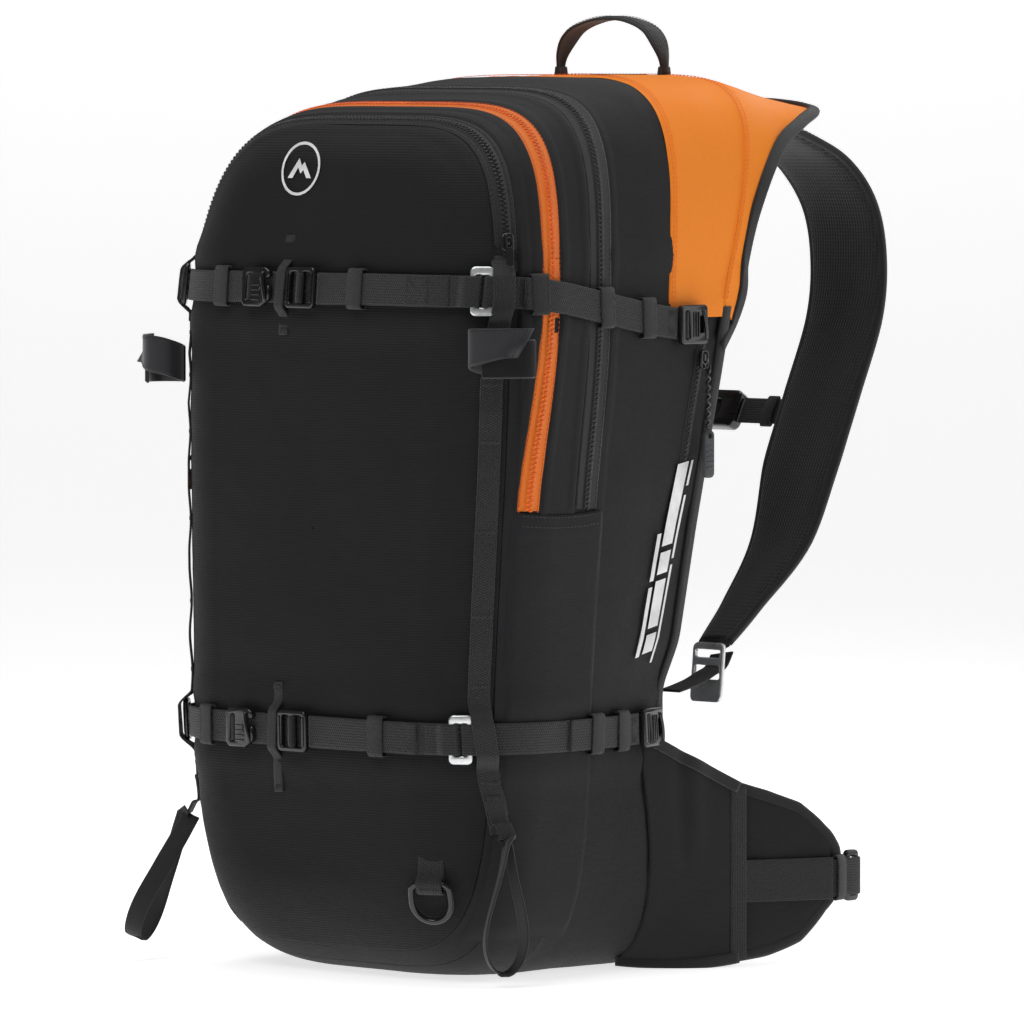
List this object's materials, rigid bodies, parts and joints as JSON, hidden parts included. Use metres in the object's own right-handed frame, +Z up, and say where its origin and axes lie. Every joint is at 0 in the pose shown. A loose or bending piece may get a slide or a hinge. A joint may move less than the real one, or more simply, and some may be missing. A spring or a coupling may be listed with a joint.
{
  "type": "avalanche airbag backpack",
  "caption": "Ski touring backpack with a folded airbag under the orange shoulder cover, gas cartridge and trigger handle, compression straps, ice-axe loops, sternum strap and hip belt.",
  "frame": {"origin": "middle of the flat base, below the middle of the object", "axes": "+Z up, -Y towards the front panel, +Y towards the wearer, +X to the wearer's right"},
  "size_m": [0.3526, 0.4291, 0.606],
  "materials": {
    "shell_fabric": "matte, finely ribbed",
    "orange_fabric": "smooth, slightly glossy",
    "padding": "matte spacer mesh",
    "webbing": "coarse weave",
    "zip_tape": "twill tape with coil",
    "orange_zip_tape": "twill tape with coil",
    "silver_metal": "bead blasted",
    "black_hardware": "glossy",
    "grey_rubber": "satin",
    "frame_plastic": "matte",
    "airbag_fabric": "coated nylon",
    "red_plastic": "satin",
    "cartridge_metal": "brushed",
    "brass": "machined"
  },
  "bodies": {
    "pack": {"front_panel": "shell_fabric", "front_gusset": "shell_fabric", "middle_gusset": "shell_fabric", "main_shell": "shell_fabric", "back_panel": "padding", "frame_sheet": "frame_plastic", "frame_stays": "cartridge_metal", "side_panels": "shell_fabric", "airbag_cover": "orange_fabric", "edge_binding": "webbing", "zip_front": "zip_tape", "zip_orange": "orange_zip_tape", "zip_rear": "zip_tape", "zip_side": "zip_tape", "compression_strap_upper": "webbing", "compression_strap_lower": "webbing", "buckle_frames": "black_hardware", "corner_slides": "silver_metal", "corner_rings": "black_hardware", "side_buckles": "black_hardware", "strap_keepers": "webbing", "daisy_webbing": "webbing", "d_ring_tab": "webbing", "airbag_bundle": "airbag_fabric", "inflator_body": "frame_plastic", "gas_cartridge": "cartridge_metal", "trigger_cable": "grey_rubber", "trigger_pocket": "webbing", "shoulder_strap_right": "padding", "shoulder_strap_left": "padding", "strap_webbing_right": "webbing", "strap_webbing_left": "webbing", "lumbar_pad": "padding"},
    "front_slider": {"slider_front": "black_hardware"},
    "orange_slider": {"slider_orange": "black_hardware"},
    "rear_slider": {"slider_rear": "black_hardware"},
    "side_slider": {"slider_side": "black_hardware"},
    "side_pull": {"pull_side": "grey_rubber"},
    "ring": {"d_ring": "black_hardware"},
    "haul": {"haul_loop": "webbing"},
    "axe_right": {"axe_loop_right": "webbing"},
    "axe_left": {"axe_loop_left": "webbing"},
    "shaft_right": {"shaft_strap_right": "webbing"},
    "shaft_left": {"shaft_strap_left": "webbing"},
    "hook_upper": {"hook_buckle_upper": "black_hardware"},
    "hook_lower": {"hook_buckle_lower": "black_hardware"},
    "adjuster_right": {"strap_adjuster_right": "silver_metal"},
    "adjuster_left": {"strap_adjuster_left": "silver_metal"},
    "wing_right": {"hip_wing_right": "padding", "hip_webbing_right": "webbing"},
    "wing_left": {"hip_wing_left": "padding", "hip_webbing_left": "webbing"},
    "hip_ring": {"hip_ring": "black_hardware"},
    "hip_hook": {"hip_hook": "black_hardware"},
    "sternum": {"sternum_webbing_right": "webbing", "sternum_socket": "black_hardware"},
    "sternum_plug": {"sternum_webbing_left": "webbing", "sternum_plug": "black_hardware"},
    "trigger": {"trigger_handle": "red_plastic"},
    "plunger": {"valve_plunger": "brass"}
  },
  "joints": [
    {"name": "front_zip", "type": "slide", "parent": "pack", "child": "front_slider", "axis": [-0.2187, 0.1379, 0.966], "range_m": [0, 0.018]},
    {"name": "orange_zip", "type": "slide", "parent": "pack", "child": "orange_slider", "axis": [-0.0476, 0.1536, 0.987], "range_m": [0, 0.08]},
    {"name": "rear_zip", "type": "slide", "parent": "pack", "child": "rear_slider", "axis": [-0.0186, 0.0974, 0.9951], "range_m": [0, 0.08]},
    {"name": "side_zip", "type": "slide", "parent": "pack", "child": "side_slider", "axis": [0.0118, 0.2265, 0.9739], "range_m": [-0.036, 0]},
    {"name": "side_pull_swing", "type": "hinge", "parent": "side_slider", "child": "side_pull", "pos_m": [0.1533, -0.0024, 0.382], "axis": [0.035, 0.9994, 0], "range_deg": [-60, 0]},
    {"name": "ring_swing", "type": "hinge", "parent": "pack", "child": "ring", "pos_m": [0.09812, -0.19786, 0.065], "axis": [0.9029, 0.4298, 0], "range_deg": [-100, 0]},
    {"name": "haul_fold", "type": "hinge", "parent": "pack", "child": "haul", "pos_m": [0, 0.072, 0.571], "axis": [1, 0, 0], "range_deg": [-60, 60], "stiffness_Nm_per_rad": 0.06},
    {"name": "axe_right_swing", "type": "hinge", "parent": "pack", "child": "axe_right", "pos_m": [0.1428, -0.17275, 0.093], "axis": [0.4695, 0.8829, 0], "range_deg": [-80, 0]},
    {"name": "axe_left_swing", "type": "hinge", "parent": "pack", "child": "axe_left", "pos_m": [-0.1428, -0.17275, 0.093], "axis": [0.4695, -0.8829, 0], "range_deg": [-80, 0]},
    {"name": "shaft_right_sway", "type": "hinge", "parent": "pack", "child": "shaft_right", "pos_m": [0.13945, -0.1768, 0.392], "axis": [0, 0, 1], "range_deg": [-12, 12]},
    {"name": "shaft_left_sway", "type": "hinge", "parent": "pack", "child": "shaft_left", "pos_m": [-0.13965, -0.17692, 0.384], "axis": [0, 0, 1], "range_deg": [-12, 12]},
    {"name": "hook_upper_lift", "type": "hinge", "parent": "pack", "child": "hook_upper", "pos_m": [-0.061, -0.20114, 0.434], "axis": [0, 0, 1], "range_deg": [-35, 0]},
    {"name": "hook_lower_lift", "type": "hinge", "parent": "pack", "child": "hook_lower", "pos_m": [-0.069, -0.2078, 0.155], "axis": [0, 0, 1], "range_deg": [-35, 0]},
    {"name": "adjuster_right_tilt", "type": "hinge", "parent": "pack", "child": "adjuster_right", "pos_m": [0.116, 0.0385, 0.203], "axis": [1, 0, 0], "range_deg": [0, 22]},
    {"name": "adjuster_left_tilt", "type": "hinge", "parent": "pack", "child": "adjuster_left", "pos_m": [-0.116, 0.0385, 0.203], "axis": [1, 0, 0], "range_deg": [0, 22]},
    {"name": "wing_right_fold", "type": "hinge", "parent": "pack", "child": "wing_right", "pos_m": [0.1315, 0.007, 0.071], "axis": [0, 0, 1], "range_deg": [-15, 40]},
    {"name": "wing_left_fold", "type": "hinge", "parent": "pack", "child": "wing_left", "pos_m": [-0.1315, 0.007, 0.071], "axis": [0, 0, 1], "range_deg": [-40, 15]},
    {"name": "hip_ring_swing", "type": "hinge", "parent": "wing_right", "child": "hip_ring", "pos_m": [0.1675, 0.11375, 0.054], "axis": [0, 0, 1], "range_deg": [-12, 60]},
    {"name": "hip_hook_swing", "type": "hinge", "parent": "wing_left", "child": "hip_hook", "pos_m": [-0.1675, 0.11425, 0.054], "axis": [0, 0, 1], "range_deg": [-60, 12]},
    {"name": "sternum_height", "type": "slide", "parent": "pack", "child": "sternum", "axis": [0, 0.4472, 0.8944], "range_m": [-0.03, 0.012]},
    {"name": "sternum_release", "type": "slide", "parent": "sternum", "child": "sternum_plug", "axis": [-1, 0, 0], "range_m": [0, 0.018]},
    {"name": "trigger_pull", "type": "slide", "parent": "pack", "child": "trigger", "axis": [0, 0.8944, -0.4472], "range_m": [0, 0.05]},
    {"name": "valve_stroke", "type": "slide", "parent": "pack", "child": "plunger", "axis": [0, 1, 0], "range_m": [0, 0.006]}
  ],
  "couplings": [
    {"joint": "valve_stroke", "follows": "trigger_pull", "ratio": 0.12}
  ]
}
